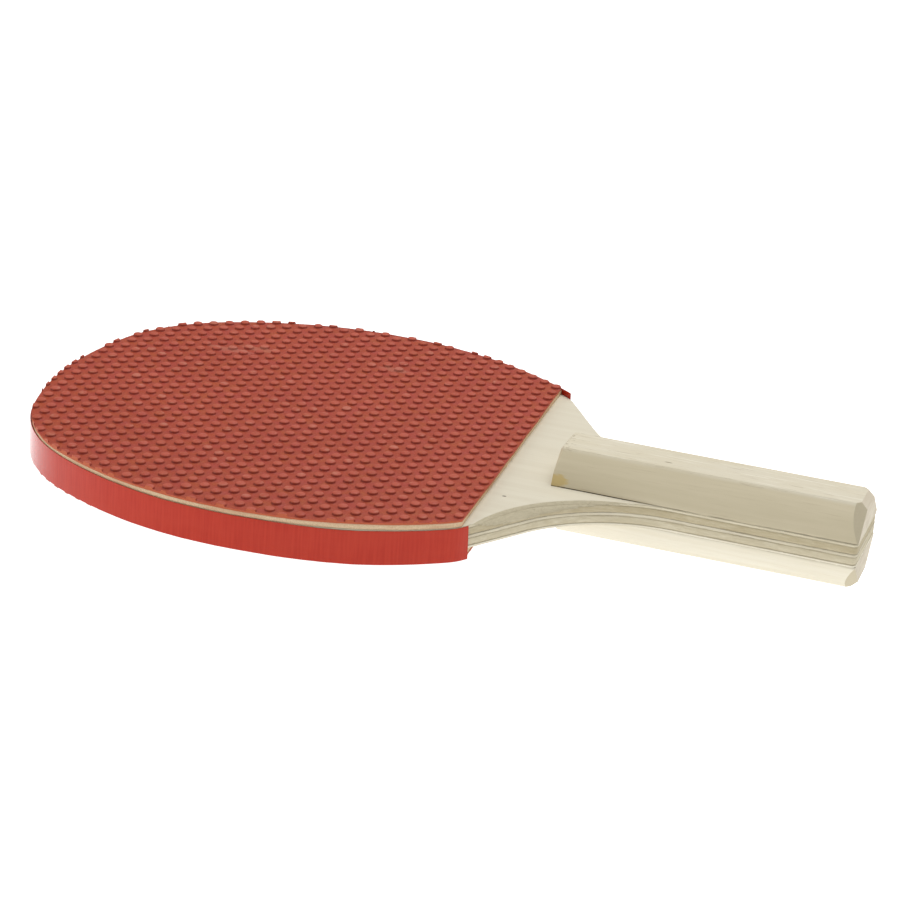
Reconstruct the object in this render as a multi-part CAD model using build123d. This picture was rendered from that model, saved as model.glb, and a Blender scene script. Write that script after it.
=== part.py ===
from build123d import *
from math import acos, atan2, degrees, hypot, radians, sqrt, tan
import os

# A pimpled-rubber table tennis paddle: a five-ply blade, a sponge and a pimpled rubber on each
# side, a tape round the head's edge and two wooden handle scales glued to the blade's tongue.
#
# Millimetres.  X runs along the handle from the tip of the head (-X) to the butt (+X), Y across
# the blade and Z up through it.  The origin is the middle of the paddle's length, on the blade's
# middle plane.

# ---- Driving dimensions --------------------------------------------------------------------
OVERALL_LENGTH = 248.0
HEAD_WIDTH = 150.0

# Head outline: a nose, a shoulder and a side arc, tangent to each other, on each side
NOSE_RADIUS = 110.0
SHOULDER_RADIUS = 50.0
SIDE_RADIUS = 106.0
TIP_TO_WIDEST = 81.0
TIP_TO_HEAD_END = 144.5
HEAD_CORNER_RADIUS = 12.0

# Neck and handle, seen from above
NECK_ANGLE = 56.5
NECK_RADIUS = 44.0
HANDLE_WIDTH = 27.5
HANDLE_LENGTH = 89.0

# Bevel along the neck's upper edge on the -Y side: its size, and where it starts, is deepest and
# ends. The start is a share of the neck's straight line, the other two are shares of its arc.
NECK_BEVEL_WIDTH = 2.4
NECK_BEVEL_DEPTH = 1.8
NECK_BEVEL_START = 0.2
NECK_BEVEL_DEEPEST = 0.25
NECK_BEVEL_END = 0.75

# Plies, from the middle of the blade outwards
CORE_THICKNESS = 1.0
CROSSBAND_THICKNESS = 2.2
VENEER_THICKNESS = 0.8

# Sponge and rubber sheets, glued on by hand: their straight cut and pimple rows lie askew, and
# the lower pair reaches further along the blade
SPONGE_THICKNESS = 1.5
RUBBER_BASE = 0.5
TIP_TO_UPPER_END = 143.0
TIP_TO_LOWER_END = 144.6
SHEET_SKEW = 2.5

# Pimples
PIMPLE_HEIGHT = 0.75
PIMPLE_ROOT_RADIUS = 1.5
PIMPLE_TIP_RADIUS = 1.35
PIMPLE_PITCH = 5.09
FIRST_ROW_INSET = 1.7

# A pimple whose centre is nearer to the sheet's edge than this is left off
SMALLEST_CUT_PIMPLE = 0.4

# Edge tape: a band wrapped slightly askew, higher on the +Y side of the head than on the other
TAPE_THICKNESS = 0.3
TAPE_WIDTH = 10.1
TAPE_MIDDLE = -0.55
TAPE_TILT = 1.0
TIP_TO_TAPE_END = 145.5
TAPE_END_SKEW = 1.3

# Handle scales: flat outside, sides that lean in and bulge a little
SCALE_THICKNESS = 9.4
SCALE_FLAT_WIDTH = 12.6
SCALE_SIDE_BULGE = 0.7
SCALE_BUTT_CHAMFER = 1.8
SCALE_FRONT_CHAMFER = 0.7

# ---- Places worked out from them -------------------------------------------------------------
TIP_X = TAPE_THICKNESS - OVERALL_LENGTH / 2
BUTT_X = OVERALL_LENGTH / 2
UPPER_END_X = TIP_X + TIP_TO_UPPER_END
LOWER_END_X = TIP_X + TIP_TO_LOWER_END
TAPE_END_X = TIP_X + TIP_TO_TAPE_END
HEAD_END_X = TIP_X + TIP_TO_HEAD_END
SCALE_FRONT_X = BUTT_X - HANDLE_LENGTH

CORE_TOP = CORE_THICKNESS / 2
CROSSBAND_TOP = CORE_TOP + CROSSBAND_THICKNESS
BLADE_TOP = CROSSBAND_TOP + VENEER_THICKNESS
SPONGE_TOP = BLADE_TOP + SPONGE_THICKNESS
RUBBER_TOP = SPONGE_TOP + RUBBER_BASE

NOSE_CENTRE = Vector(TIP_X + NOSE_RADIUS, 0)
SIDE_CENTRE = Vector(TIP_X + TIP_TO_WIDEST, HEAD_WIDTH / 2 - SIDE_RADIUS)


def shoulder_centre():
    """The centre that makes the shoulder arc tangent to the nose arc and to the side arc."""
    to_nose = NOSE_RADIUS - SHOULDER_RADIUS
    to_side = SIDE_RADIUS - SHOULDER_RADIUS
    base = NOSE_CENTRE - SIDE_CENTRE
    along = (to_side**2 - to_nose**2 + base.length**2) / (2 * base.length)
    across = sqrt(to_side**2 - along**2)
    unit = base.normalized()
    return SIDE_CENTRE + unit * along + Vector(-unit.Y, unit.X) * across


def direction(start, end):
    """Angle of the line from start to end, in degrees."""
    return degrees(atan2(end.Y - start.Y, end.X - start.X))


def head_arcs():
    """Half of the head's outline, from the tip to the corner where the neck starts."""
    shoulder = shoulder_centre()
    nose_end = direction(NOSE_CENTRE, shoulder)
    side_start = direction(SIDE_CENTRE, shoulder)
    side_end = degrees(acos((HEAD_END_X - SIDE_CENTRE.X) / SIDE_RADIUS))
    return [
        CenterArc(NOSE_CENTRE, NOSE_RADIUS, 180, nose_end - 180),
        CenterArc(shoulder, SHOULDER_RADIUS, nose_end, side_start - nose_end),
        CenterArc(SIDE_CENTRE, SIDE_RADIUS, side_start, side_end - side_start),
    ]


def layer(face, bottom, top):
    """A sheet of one outline between two heights."""
    return extrude(Pos(0, 0, bottom) * face, amount=top - bottom, dir=(0, 0, 1))


def neck_curve():
    """Straight shoulder line and concave arc that carry the head's outline into the handle's."""
    start = head_arcs()[-1] @ 1
    half_width = HANDLE_WIDTH / 2
    corner_x = start.X + (start.Y - half_width) / tan(radians(NECK_ANGLE))
    tangent = NECK_RADIUS * tan(radians(NECK_ANGLE / 2))
    centre = Vector(corner_x + tangent, half_width + NECK_RADIUS)
    arc = CenterArc(centre, NECK_RADIUS, 270 - NECK_ANGLE, NECK_ANGLE)
    return [Line(start, arc @ 0), arc]


def blade_face():
    """The blade's outline, with rounded corners between head and neck."""
    neck = neck_curve()
    side = Line(neck[-1] @ 1, (BUTT_X, HANDLE_WIDTH / 2))
    half = head_arcs() + neck + [side, Line(side @ 1, (BUTT_X, 0))]
    face = make_face(half + [mirror(edge, about=Plane.XZ) for edge in half])
    corner = neck[0] @ 0
    corners = [
        face.vertices().sort_by_distance(point)[0]
        for point in (corner, (corner.X, -corner.Y, 0))
    ]
    return fillet(corners, HEAD_CORNER_RADIUS)


def up_to(face, end_x, skew):
    """The part of a face on the tip's side of a straight cut that crosses the X axis at end_x."""
    kept = Pos(-OVERALL_LENGTH, 0) * Rectangle(2 * OVERALL_LENGTH, 2 * OVERALL_LENGTH)
    return face & Pos(end_x, 0) * Rot(0, 0, skew) * kept


def blade_blank():
    """The whole blade before it is split into plies, with the bevel sanded along its neck."""
    return layer(blade_face(), -BLADE_TOP, BLADE_TOP) - bevel_cutter()


def bevel_cutter():
    """A cone that sands the neck's upper edge on one side: the bevel fades out at both ends."""
    line, arc = neck_curve()
    middle = arc @ NECK_BEVEL_DEEPEST
    deepest = middle - (arc.arc_center - middle).normalized() * NECK_BEVEL_WIDTH
    edge = ThreePointArc(line @ NECK_BEVEL_START, deepest, arc @ NECK_BEVEL_END)
    cone = Cone(edge.radius - NECK_BEVEL_WIDTH, edge.radius + NECK_BEVEL_WIDTH, 2 * NECK_BEVEL_DEPTH)
    return mirror(Pos(edge.arc_center.X, edge.arc_center.Y, BLADE_TOP) * cone, about=Plane.XZ)


def ply(blank, bottom, top):
    """The slice of the blade between two heights."""
    slab = Box(2 * OVERALL_LENGTH, 2 * HEAD_WIDTH, top - bottom)
    return blank & Pos(0, 0, (bottom + top) / 2) * slab


def pimple_places(end_x):
    """Centres of the pimples: rows across the sheet, every other row shifted by half a pitch."""
    row_step = PIMPLE_PITCH * sqrt(3) / 2
    rows = int(HEAD_WIDTH / row_step)
    columns = int(HEAD_WIDTH / PIMPLE_PITCH / 2) + 2
    for row in range(rows):
        from_cut = FIRST_ROW_INSET + row * row_step
        shift = PIMPLE_PITCH / 2 * (row % 2)
        for column in range(-columns, columns + 1):
            place = Vector(-from_cut, column * PIMPLE_PITCH + shift)
            yield place.rotate(Axis.Z, SHEET_SKEW) + Vector(end_x, 0)


def sponge(end_x):
    """A sponge sheet on the upper side of the blade."""
    return layer(up_to(blade_face(), end_x, SHEET_SKEW), BLADE_TOP, SPONGE_TOP)


def pimpled_rubber(end_x):
    """A rubber sheet with its pimples up: those on its edge are cut through with the sheet."""
    outline = up_to(blade_face(), end_x, SHEET_SKEW)
    sheet = layer(outline, SPONGE_TOP, RUBBER_TOP)
    trim = layer(outline, RUBBER_TOP, RUBBER_TOP + PIMPLE_HEIGHT)
    border = outline.wire()
    pimple = Cone(PIMPLE_ROOT_RADIUS, PIMPLE_TIP_RADIUS, PIMPLE_HEIGHT)
    pimples = []
    for place in pimple_places(end_x):
        inside = outline.face().is_inside(place)
        to_border = border.distance_to(place)
        whole = Pos(place) * Pos(0, 0, RUBBER_TOP + PIMPLE_HEIGHT / 2) * pimple
        if inside and to_border > PIMPLE_ROOT_RADIUS:
            pimples.append(whole)
        elif inside and to_border > SMALLEST_CUT_PIMPLE:
            pimples.append(whole & trim)
    return sheet.fuse(*pimples)


def edge_tape():
    """A thin band round the head's side, cut out of a tilted slab so that it lies askew."""
    blade = blade_face()
    ring = up_to(offset(blade, TAPE_THICKNESS) - blade, TAPE_END_X, TAPE_END_SKEW)
    band = layer(ring, -TAPE_WIDTH, TAPE_WIDTH)
    slab = Box(2 * OVERALL_LENGTH, 2 * HEAD_WIDTH, TAPE_WIDTH)
    return band & Pos(0, 0, TAPE_MIDDLE) * Rot(TAPE_TILT, 0, 0) * slab


def scale_section():
    """Section of a handle scale: a wide glued base, leaning bulged sides and a flat outside."""
    base = (HANDLE_WIDTH / 2, 0)
    ridge = (SCALE_FLAT_WIDTH / 2, SCALE_THICKNESS)
    lean = hypot(base[0] - ridge[0], base[1] - ridge[1])
    outwards = (SCALE_THICKNESS / lean, (base[0] - ridge[0]) / lean)
    belly = (
        (base[0] + ridge[0]) / 2 + SCALE_SIDE_BULGE * outwards[0],
        (base[1] + ridge[1]) / 2 + SCALE_SIDE_BULGE * outwards[1],
    )
    side = ThreePointArc(base, belly, ridge)
    other_side = mirror(side, about=Plane.YZ)
    outside = Line(ridge, (-ridge[0], ridge[1]))
    bottom = Line(base, (-base[0], 0))
    return make_face([side, outside, other_side, bottom])


def handle_scale():
    """The upper scale: its outer edges are chamfered at the butt and eased at the front."""
    section = Plane.YZ.offset(SCALE_FRONT_X) * Pos(0, BLADE_TOP) * scale_section()
    scale = extrude(section, amount=HANDLE_LENGTH)
    front = scale.faces().sort_by(Axis.X)[0]
    scale = chamfer(outer_edges(front), SCALE_FRONT_CHAMFER)
    butt = scale.faces().sort_by(Axis.X)[-1]
    return chamfer(outer_edges(butt), SCALE_BUTT_CHAMFER)


def outer_edges(end_face):
    """The edges of a scale's end face without the one that lies on the blade."""
    return end_face.edges().sort_by(Axis.Z)[1:]


def paddle():
    """Every node of the paddle, by name."""
    blank = blade_blank()
    scale = handle_scale()
    return {
        "core_ply": ply(blank, -CORE_TOP, CORE_TOP),
        "upper_crossband": ply(blank, CORE_TOP, CROSSBAND_TOP),
        "lower_crossband": ply(blank, -CROSSBAND_TOP, -CORE_TOP),
        "upper_face_veneer": ply(blank, CROSSBAND_TOP, BLADE_TOP),
        "lower_face_veneer": ply(blank, -BLADE_TOP, -CROSSBAND_TOP),
        "upper_sponge": sponge(UPPER_END_X),
        "lower_sponge": mirror(sponge(LOWER_END_X), about=Plane.XY),
        "upper_pimpled_rubber": pimpled_rubber(UPPER_END_X),
        "lower_pimpled_rubber": mirror(pimpled_rubber(LOWER_END_X), about=Plane.XY),
        "edge_tape": edge_tape(),
        "upper_handle_scale": scale,
        "lower_handle_scale": mirror(scale, about=Plane.XY),
    }


os.makedirs("parts", exist_ok=True)
for name, solid in paddle().items():
    export_step(solid, f"parts/{name}.step")
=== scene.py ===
from math import acos, atan2, ceil, cos, pi, radians, sin, sqrt, tan

import bmesh
import bpy
import numpy as np
from mathutils import Matrix, Vector, noise


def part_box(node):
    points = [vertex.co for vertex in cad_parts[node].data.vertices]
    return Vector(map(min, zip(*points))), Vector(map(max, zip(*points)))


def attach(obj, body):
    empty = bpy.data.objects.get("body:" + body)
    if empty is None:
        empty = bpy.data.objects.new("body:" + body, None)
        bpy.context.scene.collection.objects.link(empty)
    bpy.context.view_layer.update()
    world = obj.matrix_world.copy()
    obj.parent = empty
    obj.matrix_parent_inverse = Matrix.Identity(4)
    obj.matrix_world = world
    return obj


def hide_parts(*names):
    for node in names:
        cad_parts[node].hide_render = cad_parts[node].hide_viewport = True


# A pimpled-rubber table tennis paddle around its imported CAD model.  Shapes are worked out in
# millimetres and written to the meshes in metres.
MM = 0.001

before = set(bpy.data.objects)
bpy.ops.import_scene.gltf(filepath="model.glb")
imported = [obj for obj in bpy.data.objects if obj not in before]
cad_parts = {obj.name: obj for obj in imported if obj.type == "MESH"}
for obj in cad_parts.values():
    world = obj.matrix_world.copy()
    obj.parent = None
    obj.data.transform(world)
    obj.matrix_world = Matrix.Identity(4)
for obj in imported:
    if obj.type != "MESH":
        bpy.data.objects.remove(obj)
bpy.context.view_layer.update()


# ---- Sizes read from the frame, in millimetres -------------------------------------------------
def node_box(node):
    """A node's lowest and highest corners."""
    low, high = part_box(node)
    return low / MM, high / MM


veneer_low, veneer_high = node_box("upper_face_veneer")
scale_low, scale_high = node_box("upper_handle_scale")

TIP_X = veneer_low.x
BUTT_X = veneer_high.x
HALF_WIDTH = veneer_high.y
BLADE_TOP = veneer_high.z
SPONGE_TOP = node_box("upper_sponge")[1].z
PIMPLE_TOP = node_box("upper_pimpled_rubber")[1].z
HANDLE_HALF = scale_high.y
SCALE_TOP = scale_high.z
SCALE_FRONT_X = scale_low.x

# ---- Sizes that repeat the CAD model's, in millimetres -----------------------------------------
NOSE_RADIUS = 110.0
SHOULDER_RADIUS = 50.0
SIDE_RADIUS = 106.0
TIP_TO_WIDEST = 81.0
HEAD_END_X = TIP_X + 144.5
HEAD_CORNER_RADIUS = 12.0
UPPER_END_X = TIP_X + 143.0
LOWER_END_X = TIP_X + 144.6
SHEET_SKEW = radians(2.5)
NECK_ANGLE = radians(56.5)
NECK_RADIUS = 44.0
BEVEL_WIDTH = 2.4
BEVEL_DEPTH = 1.8
BEVEL_START = 0.2
BEVEL_DEEPEST = 0.25
BEVEL_END = 0.75
PIMPLE_HEIGHT = 0.75
PIMPLE_ROOT_RADIUS = 1.5
PIMPLE_TIP_RADIUS = 1.35
PIMPLE_PITCH = 5.09
FIRST_ROW_INSET = 1.7
TAPE_THICKNESS = 0.3
TAPE_WIDTH = 10.1
TAPE_MIDDLE = -0.55
TAPE_TILT = radians(1.0)
TAPE_END_X = TIP_X + 145.5
TAPE_END_SKEW = radians(1.3)
SCALE_FLAT_HALF = 6.3
SCALE_SIDE_BULGE = 0.7
RUBBER_BASE_TOP = PIMPLE_TOP - PIMPLE_HEIGHT

# ---- Sizes of details that the CAD model lacks or has plainer, in millimetres ------------------
# Plies: how far a cut edge is set in, the groove at its glue lines, the depth of its waves and of
# its torn fibres, how much of that the two kinds of ply show, and where the rings of a ply lie
PLY_INSET = 0.05
PLY_GROOVE = 0.14
PLY_WAVE = 0.07
PLY_TEAR = 0.08
PLY_OVERHANG = 0.04
CROSS_GRAIN_ROUGHNESS = 1.4
LONG_GRAIN_ROUGHNESS = 0.8
PLY_LEVELS = (0.0, 0.06, 0.2, 0.4, 0.6, 0.8, 0.94, 1.0)
CAP_INSET = 0.9

# Foam: how far it is set in, and how much further at each share of its thickness
FOAM_INSET = 0.2
FOAM_LEVELS = ((0.0, 0.12), (0.15, 0.04), (0.4, 0.0), (0.7, 0.0), (0.9, 0.05), (1.0, 0.12))
FOAM_WAVE = 0.18
FOAM_TEAR = 0.07

# Rubber: its hand-trimmed outline, and how far it sags
SHEET_STEP = 0.8
TRIM_INSET = 0.08
TRIM_WANDER = 0.35
TRIM_OVERHANG = 0.15
RUBBER_SAG = 0.05

# Pimples: the fillet at the foot, the rounded rim and the dished top
PIMPLE_SIDES = 18
PIMPLE_FILLET = 0.25
PIMPLE_FILLET_TOP = 0.09
PIMPLE_RIM = 0.12
PIMPLE_RIM_START = 0.64
PIMPLE_DISH = 0.02
# Pimples whose centres are this far outside a sheet are made too, as it may cut through them
CUT_MARGIN = 3.6
# How unevenly they are moulded: standard deviations of their shift and sinking in millimetres,
# of their growth as a share and of their lean as a slope
PIMPLE_SHIFT = 0.035
PIMPLE_SINK = 0.025
PIMPLE_GROWTH = 0.02
PIMPLE_LEAN = 0.012

# Tape: it runs lower than the CAD model's, and rises on the near side, first between two places
# on X and then again before the tip
TAPE_STEP = 0.7
TAPE_ROWS = 10
TAPE_DIP = 0.2
TAPE_LIFT = 0.75
TAPE_LIFT_X = (0.0, -35.0)
TAPE_TIP_LIFT = 0.3
TAPE_TIP_LIFT_X = (-50.0, -105.0)
TAPE_LIFT_Y = (30.0, -30.0)
# Its ends are cut aslant over a short run, its edges wander, and its face shows a step
TAPE_SLANT = 0.4
TAPE_SLANT_RUN = 8.0
TAPE_TOP_WAVE = 0.14
TAPE_BOTTOM_WAVE = 0.18
TAPE_NICKS = 0.04
TAPE_FACE_STEP = 0.05
TAPE_BACK = 0.02

# Handle: chamfers and facets at the butt, the eased front, the groove along the glued edge, and
# the unevenness of the sanding
BUTT_CHAMFER = 1.9
BUTT_CORNER_RADIUS = 1.5
BUTT_GAP = 0.04
FRONT_CHAMFER = 0.7
FRONT_CORNER = 1.0
FACET_BACK = 3.2
FACET_ACROSS = 3.2
FACET_FOOT = 0.15
SCALE_STATIONS = 60
SCALE_INSET = 0.04
SCALE_GROOVE = 0.3
SCALE_GROOVE_SHARE = 0.05
SCALE_WAVE = 0.12
SCALE_BOW = 0.05
EDGE_ROUND = 0.22

# ---- Angles above which an edge is shaded as a crease ------------------------------------------
SCALE_CREASE = radians(25)
EDGE_CREASE = radians(50)
RUBBER_CREASE = radians(60)

# ---- Floor, in millimetres, and light, in metres and watts -------------------------------------
TIP_TO_FLOOR_CONTACT = 1.5
FLOOR_SIZE = 8000.0
FLOOR_GAP = 0.02
FLOOR_GLOW = 1.1
WORLD_LIGHT = 0.44
# Name, position, width and height, and power
SOFTBOXES = (
    ("top_softbox", (0.15, 0.55, 1.1), (1.1, 0.9), 11.0),
    ("left_softbox", (-0.9, -0.3, 0.5), (0.5, 0.7), 2.6),
)

# ---- Camera: the lens and sensor in millimetres, lengths in metres and angles in radians -------
CAMERA_AIM = Vector((-1.83, 5.75, 0.0)) * MM
CAMERA_DISTANCE = 0.8255
CAMERA_AZIMUTH = radians(17.45)
CAMERA_ELEVATION = radians(22.5)
CAMERA_ROLL = radians(4.12)
CAMERA_LENS = 112.0
CAMERA_SENSOR = 36.0
CAMERA_CLIP_START = 0.01


# ---- Small helpers -----------------------------------------------------------------------------
def wobble(point, length, seed):
    """Smooth noise between about -1 and 1 that changes over the given length."""
    return noise.noise(Vector(point) / length + Vector((seed * 17.3, seed * -9.1, seed * 5.7)))


def smoothstep(value, start, end):
    """0 up to the start, 1 from the end on, and eased between them."""
    t = min(max((value - start) / (end - start), 0.0), 1.0)
    return t * t * (3 - 2 * t)


def finish_bmesh(bm, name, sharp_angle):
    """Scale a bmesh in millimetres to metres and turn it into an object with smooth shading
    that breaks at edges sharper than the angle."""
    bmesh.ops.recalc_face_normals(bm, faces=bm.faces[:])
    for face in bm.faces:
        face.smooth = True
    for edge in bm.edges:
        if len(edge.link_faces) == 2:
            edge.smooth = edge.calc_face_angle(0.0) < sharp_angle
    bmesh.ops.scale(bm, vec=(MM, MM, MM), verts=bm.verts[:])
    mesh = bpy.data.meshes.new(name)
    bm.to_mesh(mesh)
    bm.free()
    piece = bpy.data.objects.new(name, mesh)
    bpy.context.scene.collection.objects.link(piece)
    return piece


def apply_modifiers(piece):
    """Replace the object's mesh by its evaluated one, and drop the modifiers."""
    depsgraph = bpy.context.evaluated_depsgraph_get()
    mesh = bpy.data.meshes.new_from_object(piece.evaluated_get(depsgraph))
    mesh.name = piece.name
    piece.modifiers.clear()
    old = piece.data
    piece.data = mesh
    bpy.data.meshes.remove(old)


def split_caps(bm):
    """Triangulate the faces with more than four corners."""
    bmesh.ops.triangulate(bm, faces=[face for face in bm.faces if len(face.verts) > 4])


def reopened(piece):
    """Remove an object, and return its mesh as a bmesh in millimetres."""
    bm = bmesh.new()
    bm.from_mesh(piece.data)
    bpy.data.objects.remove(piece)
    bmesh.ops.scale(bm, vec=(1 / MM, 1 / MM, 1 / MM), verts=bm.verts[:])
    return bm


def rings_to_solid(bm, rings):
    """Close a stack of equally long vertex rings: quads between them and a cap at each end."""
    loops = [[bm.verts.new(co) for co in ring] for ring in rings]
    count = len(loops[0])
    for lower, upper in zip(loops, loops[1:]):
        for i in range(count):
            j = (i + 1) % count
            bm.faces.new((lower[i], lower[j], upper[j], upper[i]))
    bm.faces.new(loops[0][::-1])
    bm.faces.new(loops[-1])


# ---- Outline of the blade ----------------------------------------------------------------------
nose_centre = Vector((TIP_X + NOSE_RADIUS, 0.0))
side_centre = Vector((TIP_X + TIP_TO_WIDEST, HALF_WIDTH - SIDE_RADIUS))


def find_shoulder():
    """Centre of the arc that touches the nose arc and the side arc."""
    to_nose = NOSE_RADIUS - SHOULDER_RADIUS
    to_side = SIDE_RADIUS - SHOULDER_RADIUS
    base = nose_centre - side_centre
    along = (to_side**2 - to_nose**2 + base.length_squared) / (2 * base.length)
    across = sqrt(to_side**2 - along**2)
    unit = base.normalized()
    return side_centre + unit * along + Vector((-unit.y, unit.x)) * across


shoulder_centre = find_shoulder()


def arc(centre, radius, start, end, step, outward=1):
    """Points and outward normals along an arc, a step apart."""
    count = max(2, ceil(abs(end - start) * radius / step))
    for i in range(count):
        angle = start + (end - start) * i / count
        ray = Vector((cos(angle), sin(angle)))
        yield centre + ray * radius, ray * outward


def line(start, end, step):
    """Points along a straight line that runs clockwise round the outline, and its normals."""
    count = max(2, ceil((end - start).length / step))
    along = (end - start).normalized()
    for i in range(count):
        yield start.lerp(end, i / count), Vector((-along.y, along.x))


# The neck's straight line leaves the head's corner and meets the concave arc
side_end = acos((HEAD_END_X - side_centre.x) / SIDE_RADIUS)
corner = side_centre + Vector((cos(side_end), sin(side_end))) * SIDE_RADIUS
meeting_x = corner.x + (corner.y - HANDLE_HALF) / tan(NECK_ANGLE)
bend = Vector((meeting_x + NECK_RADIUS * tan(NECK_ANGLE / 2), HANDLE_HALF + NECK_RADIUS))
bend_first = radians(270) - NECK_ANGLE


def on_bend(share, out=0.0):
    """A point on the neck's arc, or a distance inside the wood from it."""
    angle = bend_first + NECK_ANGLE * share
    return bend + Vector((cos(angle), sin(angle))) * (NECK_RADIUS + out)


def circle_through(a, b, c):
    """Centre and radius of the circle through three points."""
    ab, ac = b - a, c - a
    twice = 2 * (ab.x * ac.y - ab.y * ac.x)
    across = Vector((
        ac.y * ab.length_squared - ab.y * ac.length_squared,
        ab.x * ac.length_squared - ac.x * ab.length_squared,
    ))
    centre = across / twice
    return a + centre, centre.length


# The bevel sanded along the neck's edge is part of a cone round this circle
bevel_centre, bevel_radius = circle_through(
    corner.lerp(on_bend(0.0), BEVEL_START), on_bend(BEVEL_DEEPEST, BEVEL_WIDTH), on_bend(BEVEL_END)
)


def bevel_inset(point, z):
    """How far the neck's bevel, on the upper edge at -Y, cuts in from the blade's outline."""
    if point.y > 0:
        return 0.0
    below = (BLADE_TOP - z) / BEVEL_DEPTH
    away = (Vector((point.x, -point.y)) - bevel_centre).length
    return max(bevel_radius - BEVEL_WIDTH * below - away, 0.0)


def half_outline(head_step, step):
    """Half of the blade's outline, from the tip by +Y to the butt's corner."""
    to_nose = shoulder_centre - nose_centre
    to_side = shoulder_centre - side_centre
    nose_end = atan2(to_nose.y, to_nose.x)
    side_start = atan2(to_side.y, to_side.x)
    bend_start = on_bend(0.0)

    # A small arc rounds the corner: it touches the side arc and the line from inside
    along = (bend_start - corner).normalized()
    out = Vector((-along.y, along.x))
    from_side = corner - out * HEAD_CORNER_RADIUS - side_centre
    reach = SIDE_RADIUS - HEAD_CORNER_RADIUS
    middle = from_side.dot(along)
    run = -middle - sqrt(middle**2 - from_side.length_squared + reach**2)
    centre = side_centre + from_side + along * run
    to_centre = centre - side_centre
    round_start = atan2(to_centre.y, to_centre.x)
    round_end = atan2(out.y, out.x)

    points = list(arc(nose_centre, NOSE_RADIUS, pi, nose_end, head_step))
    points += arc(shoulder_centre, SHOULDER_RADIUS, nose_end, side_start, head_step)
    points += arc(side_centre, SIDE_RADIUS, side_start, round_start, head_step)
    points += arc(centre, HEAD_CORNER_RADIUS, round_start, round_end, step)
    points += line(corner + along * run, bend_start, step)
    points += arc(bend, NECK_RADIUS, bend_first, radians(270), step, outward=-1)
    butt = Vector((BUTT_X - BUTT_CORNER_RADIUS, HANDLE_HALF - BUTT_CORNER_RADIUS))
    points += line(Vector((bend.x, HANDLE_HALF)), Vector((butt.x, HANDLE_HALF)), step)
    points += arc(butt, BUTT_CORNER_RADIUS, radians(90), 0.0, step / 2)
    return points


def mirrored(points):
    """The same points and normals on the other side of the X axis."""
    return [(Vector((p.x, -p.y)), Vector((n.x, -n.y))) for p, n in points]


def blade_loop(head_step=1.5, step=0.5):
    """The whole blade's outline from the tip round by +Y, finest where its edge shows."""
    half = half_outline(head_step, step)
    far = Vector((BUTT_X, HANDLE_HALF - BUTT_CORNER_RADIUS))
    near = Vector((BUTT_X, BUTT_CORNER_RADIUS - HANDLE_HALF))
    butt = list(line(far, near, step)) + [(near, Vector((1.0, 0.0)))]
    return half + butt + mirrored(half)[:0:-1]


def past_cut(point, end_x, skew):
    """How far a point lies beyond a straight cut that crosses the X axis askew at end_x."""
    return (point.x - end_x) * cos(skew) + point.y * sin(skew)


def head_path(end_x, skew, step):
    """The head's outline from the near end of a cut, round the tip, to the cut's far end."""
    loop = blade_loop(step, step)
    far = [pair for pair in loop if pair[0].y >= 0]
    near = [pair for pair in loop if pair[0].y < 0]
    path = []
    for side in (far, near[::-1]):
        kept = [pair for pair in side if past_cut(pair[0], end_x, skew) < 0]
        inside, outside = kept[-1], side[len(kept)]
        a, b = past_cut(inside[0], end_x, skew), past_cut(outside[0], end_x, skew)
        kept.append((inside[0].lerp(outside[0], a / (a - b)), inside[1]))
        path.append(kept)
    return path[1][::-1] + path[0]


def sheet_loop(end_x, step):
    """The outline of a sheet: the head's, closed by the sheet's straight cut."""
    path = head_path(end_x, SHEET_SKEW, step)
    return path + list(line(path[-1][0], path[0][0], step))[1:]


# ---- Places and sizes of single marks, in millimetres ------------------------------------------
RUBBER_SMEARS = (
    ((-86, 37.5, 6), (9, 2.2, 9)),
    ((-78, 42, 6), (7, 2, 9)),
    ((-34.5, 46, 6), (6, 2, 9)),
)
NECK_SPECK = ((25.4, -27.0, BLADE_TOP), (0.75, 0.45, 0.6))
SCALE_FLECKS = ((42.2, 9.0, SCALE_TOP), (42.1, 6.3, SCALE_TOP), (66.0, -3.0, SCALE_TOP))
FLECK_SIZE = (1.4, 0.35, 0.8)
GLUE_STAIN = ((36.0, -13.0, 5.2), (4.6, 3.0, 2.0))


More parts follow.
